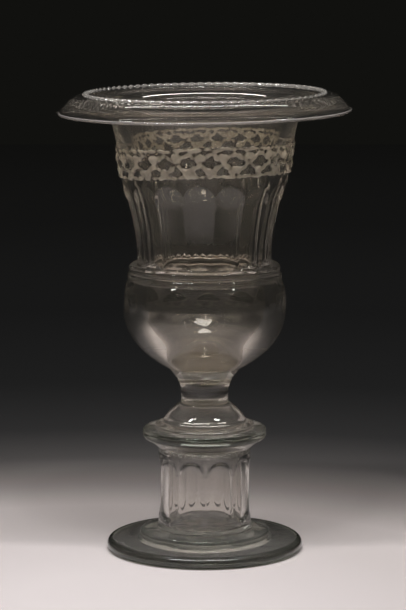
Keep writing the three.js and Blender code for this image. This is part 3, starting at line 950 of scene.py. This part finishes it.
def dress(piece, finish, replaced):
    """Gives a piece its glass, its seam slot and its place in the frame."""
    piece.data.materials.clear()
    piece.data.materials.append(finish)
    piece.data.materials.append(seam)
    bpy.ops.object.select_all(action="DESELECT")
    piece.select_set(True)
    bpy.context.view_layer.objects.active = piece
    bpy.ops.object.shade_smooth_by_angle(angle=math.radians(SMOOTH_ANGLE))
    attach(piece, "root")
    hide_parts(*replaced)


def mark(piece, slot, test):
    """Gives one of a piece's slots to the faces whose radius and height pass a test."""
    for face in piece.data.polygons:
        x, y, z = face.center / MM
        if test(math.hypot(x, y), z):
            face.material_index = slot


def fuse(piece, test):
    """Marks the faces where a piece is melted into another: no surface is left there."""
    mark(piece, SEAM_SLOT, test)


def coat(piece, finish, test):
    """Adds a glass to a piece, for the faces whose radius and height pass a test."""
    piece.data.materials.append(finish)
    mark(piece, len(piece.data.materials) - 1, test)


def flat_seam(piece, z_seam, low=0.0, high=math.inf):
    """Marks a flat seam at a height, between two radii."""
    fuse(piece, lambda r, z: abs(z - z_seam) < SEAM_NEARNESS and low < r < high)


dress(bell, clear_glass, ["bell"])
dress(ridge, rope_glass, ["bell"])
dress(bulb, clear_glass, ["bulb"])
dress(lower_collar, clear_glass, ["lower_collar_trail"])
dress(upper_collar, clear_glass, ["upper_collar_trail"])
dress(neck, clear_glass, ["stem_neck"])
dress(cone, cone_glass, ["stem_cone"])
dress(merese, stem_glass, ["merese"])
dress(flange, foot_glass, ["drip_flange"])
dress(column, column_glass, ["fluted_column"])
dress(step, foot_glass, ["foot_step"])
dress(foot, foot_glass, ["foot_disc"])
dress(
    trellis,
    trail_glass,
    ["trellis_bottom_trail", "trellis_top_trail", "trellis_lower_zigzag", "trellis_upper_zigzag"],
)

# Bell: brim, lip's painted highlight, then seams under it, behind the collars and under the ridge.
coat(bell, brim_glass, lambda r, z: r > BRIM_GLASS_RADIUS)
coat(bell, lip_highlight_glass, lambda r, z: r > BRIM_RADIUS - LIP_HIGHLIGHT_WIDTH)
flat_seam(bell, BELL_Z)
fuse(bell, lambda r, z: z < upper_top and abs(r - BELL_BASE_RADIUS) < BELL_SEAM_DEPTH)
fuse(bell, lambda r, z: abs(r - RIDGE_RADIUS) < RIDGE_HALF_WIDTH and z > level - RIDGE_SEAM_DEPTH)
for face in ridge.data.polygons:
    if face.normal.z < -LEVEL_NORMAL:
        face.material_index = SEAM_SLOT

# Bulb: its seams, then the film of lime on the inside of its bottom.
flat_seam(bulb, BELL_Z, inner, BULB_SHOULDER_RADIUS)
flat_seam(bulb, BULB_Z, 0.0, NECK_TOP_RADIUS)
first_film = len(bulb.data.materials)
for film in (film_thin, film_mid, film_thick):
    bulb.data.materials.append(film)
for face in bulb.data.polygons:
    x, y, z = face.center / MM
    inwards = face.normal.x * x + face.normal.y * y < 0.0 or face.normal.z > LEVEL_NORMAL
    if inwards and z < FILM_Z[0]:
        face.material_index = first_film + sum(z < limit for limit in FILM_Z[1:])

# Collars and stem.
flat_seam(lower_collar, BELL_Z)
for collar in (lower_collar, upper_collar):
    flat_seam(collar, lower_top, 0.0, groove[0])
    fuse(collar, lambda r, z: abs(r - BELL_BASE_RADIUS) < COLLAR_SEAM_DEPTH)
flat_seam(neck, NECK_Z)
flat_seam(neck, BULB_Z)
flat_seam(cone, NECK_Z, 0.0, NECK_FOOT_RADIUS)
flat_seam(cone, CONE_Z)
flat_seam(merese, CONE_Z, 0.0, cone_inner[0])
flat_seam(merese, MERESE_Z)

# Flange, column, step and foot.
coat(flange, edge_glass, lambda r, z: r > flange_inner + FLANGE_EDGE_GLASS)
flat_seam(flange, MERESE_Z, 0.0, merese_inner)
flat_seam(flange, FLANGE_Z, lip, COLUMN_RADIUS)
coat(column, bore_end_glass, lambda r, z: r < bore + BORE_SKIN and not bore_low[1] < z < bore_high[1])
flat_seam(column, FLANGE_Z)
flat_seam(column, COLUMN_Z)
coat(step, bore_end_glass, lambda r, z: abs(z - COLUMN_Z) < SEAM_NEARNESS and r < lip)
flat_seam(step, COLUMN_Z, lip, column_base[0])
flat_seam(step, STEP_Z)
coat(foot, edge_glass, lambda r, z: r > rest + FOOT_EDGE_GLASS)
flat_seam(foot, STEP_Z, 0.0, STEP_RADIUS)

# Where the trellis is melted into the bell, neither keeps its own surface.
fuse(trellis, lambda r, z: r < bell_radius(z) - SEAM_NEARNESS)
shell = BVHTree.FromPolygons(
    [v.co for v in trellis.data.vertices], [p.vertices for p in trellis.data.polygons]
)
for face in bell.data.polygons:
    x, y, z = face.center / MM
    outside = math.hypot(x, y) > bell_radius(z) - BELL_SKIN
    if TRELLIS_SEAM_LOW_Z < z < TRELLIS_SEAM_HIGH_Z and outside:
        ray = Vector((x, y, 0.0)).normalized()
        hit, normal = shell.ray_cast(face.center, ray)[:2]
        if hit is not None and normal.dot(ray) > 0.0:
            face.material_index = SEAM_SLOT


def card_backdrop():
    """Matt card: painted light, pale and even where the vase stands, then a soft fall into the dark.
    """
    new = material("matt_card_painted_light_pool")
    tree = new.node_tree
    place = node(tree, "ShaderNodeTexCoord")
    centred = node(
        tree,
        "ShaderNodeMapping",
        {"Location": LIGHT_POOL_SHIFT, "Rotation": (0.0, 0.0, math.radians(LIGHT_POOL_TURN))},
        {"Vector": place.outputs["Object"]},
    )
    sides = node(
        tree,
        "ShaderNodeVectorMath",
        {"operation": "ABSOLUTE"},
        {0: centred.outputs["Vector"]},
    )
    past = node(
        tree,
        "ShaderNodeVectorMath",
        {"operation": "SUBTRACT"},
        {0: sides.outputs["Vector"]},
    )
    past.inputs[1].default_value = LIGHT_POOL_CORE
    beyond = node(
        tree,
        "ShaderNodeVectorMath",
        {"operation": "MAXIMUM"},
        {0: past.outputs["Vector"]},
    )
    reach = node(
        tree,
        "ShaderNodeVectorMath",
        {"operation": "LENGTH"},
        {0: beyond.outputs["Vector"]},
    )
    farthest = LIGHT_POOL_TONES[-1][0]
    share = node(
        tree,
        "ShaderNodeMath",
        {"operation": "DIVIDE", "use_clamp": True},
        {0: reach.outputs["Value"]},
    )
    share.inputs[1].default_value = farthest
    ramp = node(tree, "ShaderNodeValToRGB", {}, {"Fac": share.outputs["Value"]})
    stops = ramp.color_ramp.elements
    while len(stops) < len(LIGHT_POOL_TONES):
        stops.new(0.5)
    for stop, (distance, code) in zip(stops, LIGHT_POOL_TONES):
        stop.position = distance / farthest
        stop.color = srgb(code)
    card = node(
        tree,
        "ShaderNodeBsdfPrincipled",
        {"Roughness": CARD_ROUGHNESS, "Specular IOR Level": CARD_SHEEN},
        {"Base Color": ramp.outputs["Color"]},
    )
    node(tree, "ShaderNodeOutputMaterial", {}, {"Surface": card.outputs["BSDF"]})
    return new


# A table painted pale round the vase and painted darker away from it, under plain soft light.
bpy.ops.mesh.primitive_plane_add(size=TABLE_SIZE, location=(0.0, 0.0, 0.0))
table = bpy.context.object
table.name = "table_sheet"
table.data.materials.append(card_backdrop())


def softbox(name, place, aim, width, height, watts):
    """A soft area lamp at a place in metres, turned to a point."""
    lamp = bpy.data.lights.new(name, "AREA")
    lamp.shape = "RECTANGLE"
    lamp.size = width
    lamp.size_y = height
    lamp.energy = watts
    holder = bpy.data.objects.new(name, lamp)
    holder.location = place
    holder.rotation_euler = (Vector(aim) - Vector(place)).to_track_quat("-Z", "Y").to_euler()
    bpy.context.collection.objects.link(holder)


softbox(
    "overhead_strip",
    place=(-0.04, -0.33, 0.95),
    aim=(-0.04, -0.33, 0.0),
    width=1.2,
    height=0.05,
    watts=12.5,
)
softbox(
    "rear_strip",
    place=(0.0, 0.32, 1.0),
    aim=(0.0, 0.32, 0.0),
    width=0.9,
    height=0.03,
    watts=1.8,
)
softbox(
    "pin_lamp",
    place=(0.0, -0.36, 0.94),
    aim=(0.0, 0.0, 0.1),
    width=0.05,
    height=0.05,
    watts=0.9,
)

world = bpy.data.worlds.new("dim_room")
world.use_nodes = True
world.node_tree.nodes["Background"].inputs["Color"].default_value = srgb(ROOM_TONE)
bpy.context.scene.world = world
